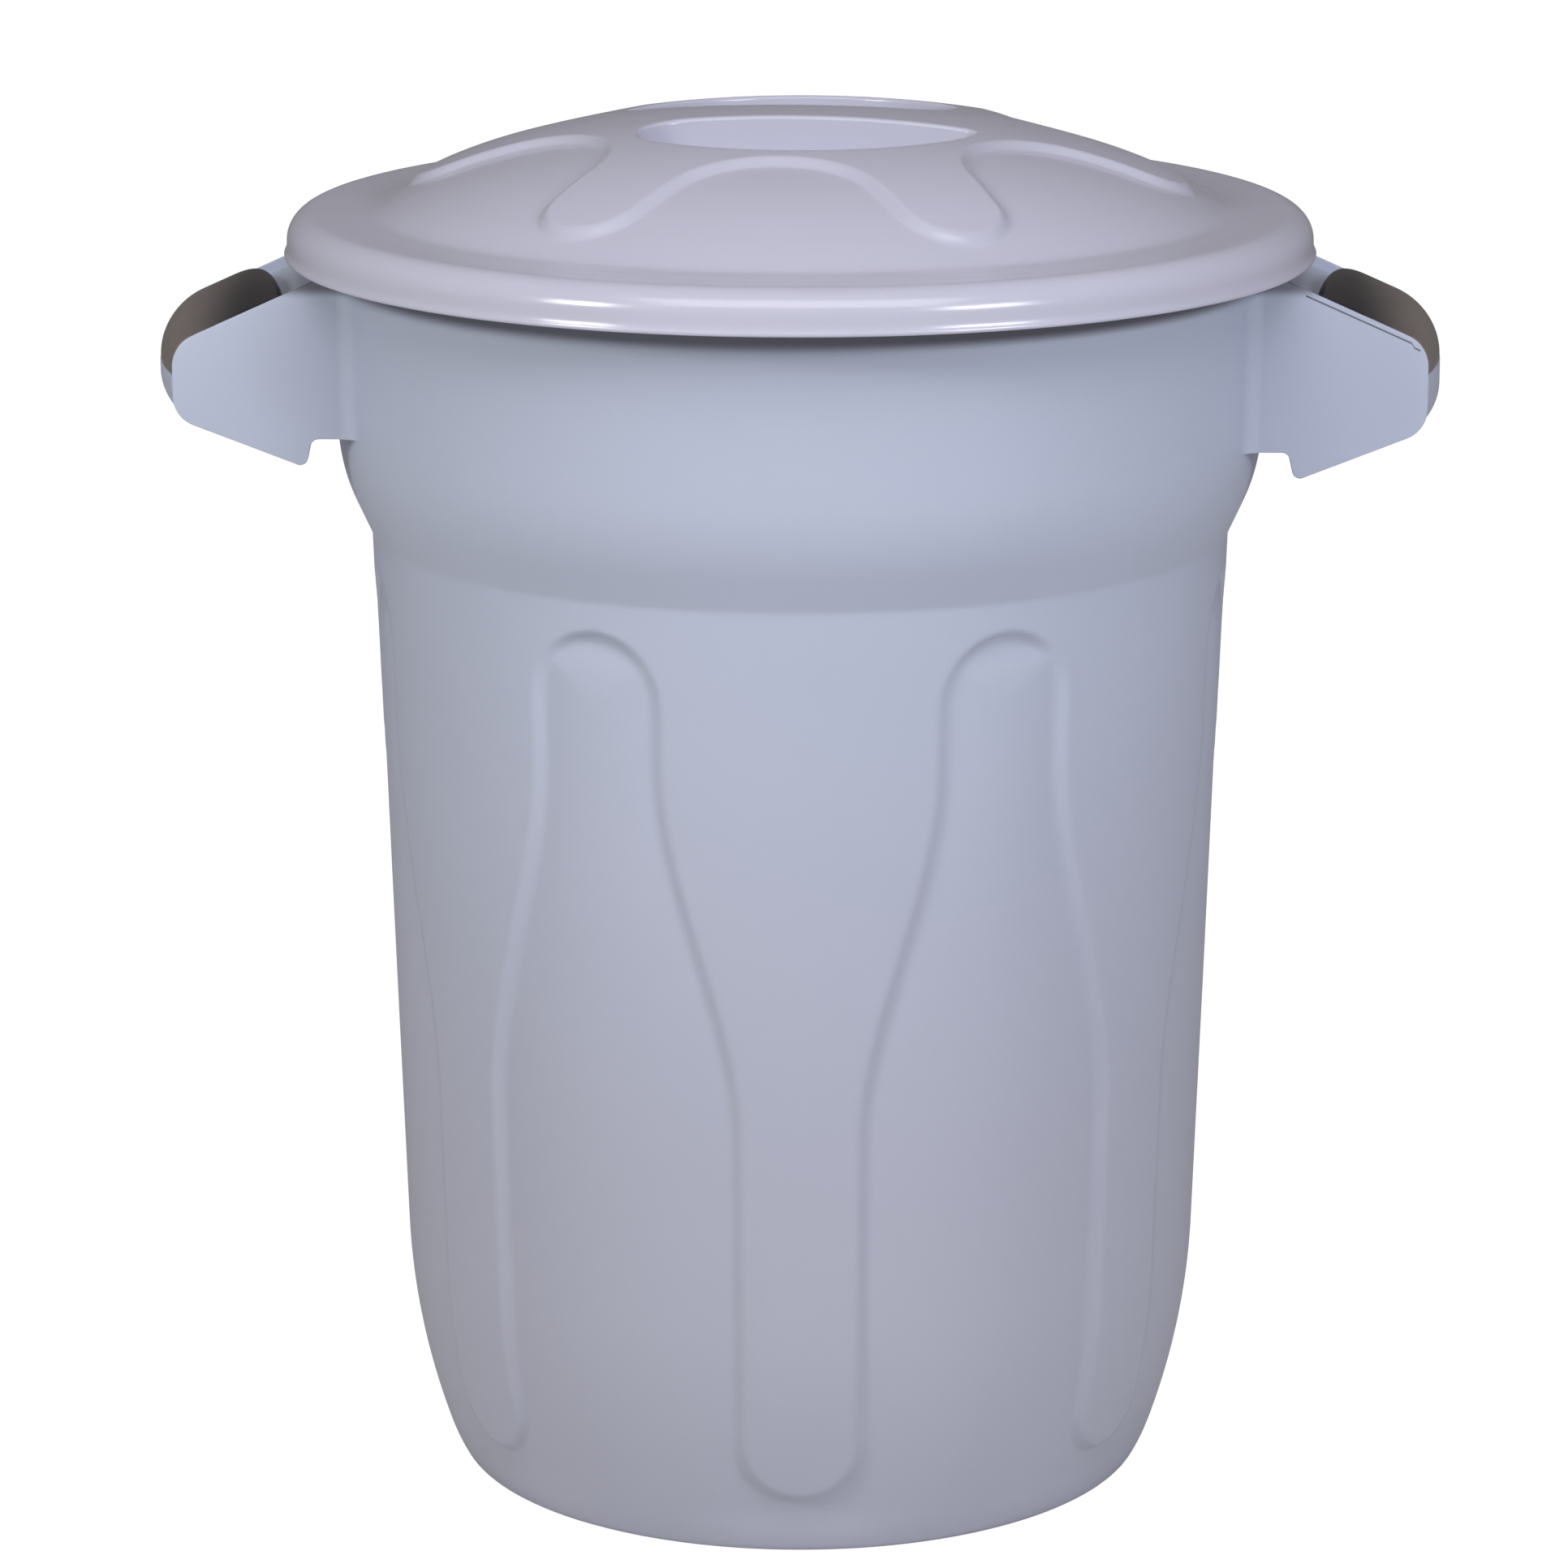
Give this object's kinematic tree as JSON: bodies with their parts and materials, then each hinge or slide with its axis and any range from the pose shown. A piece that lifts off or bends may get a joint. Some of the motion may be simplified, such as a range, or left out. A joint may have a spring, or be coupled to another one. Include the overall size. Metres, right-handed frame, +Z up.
{
  "type": "trash can",
  "caption": "Round plastic trash can with recessed side panels, two moulded side handles with soft grips, and a lift-off domed lid with a raised star and grip bar.",
  "frame": {"origin": "centre of the base on the floor", "axes": "+Z up through the lid's centre, the two handles along +X and -X, the front at -Y"},
  "size_m": [0.6642, 0.534, 0.7226],
  "materials": {
    "tub_plastic": "satin moulded polypropylene, cool light grey",
    "lid_plastic": "glossy moulded polypropylene, light grey with a slight lilac cast",
    "soft_grip": "satin charcoal soft-touch rubber"
  },
  "bodies": {
    "tub": {"tub": "tub_plastic", "grip_left": "soft_grip", "grip_right": "soft_grip"},
    "lid": {"lid": "lid_plastic"}
  },
  "joints": [
    {"name": "lid_lift", "type": "slide", "parent": "tub", "child": "lid", "axis": [0, 0, 1], "range_m": [0, 0.3]}
  ]
}
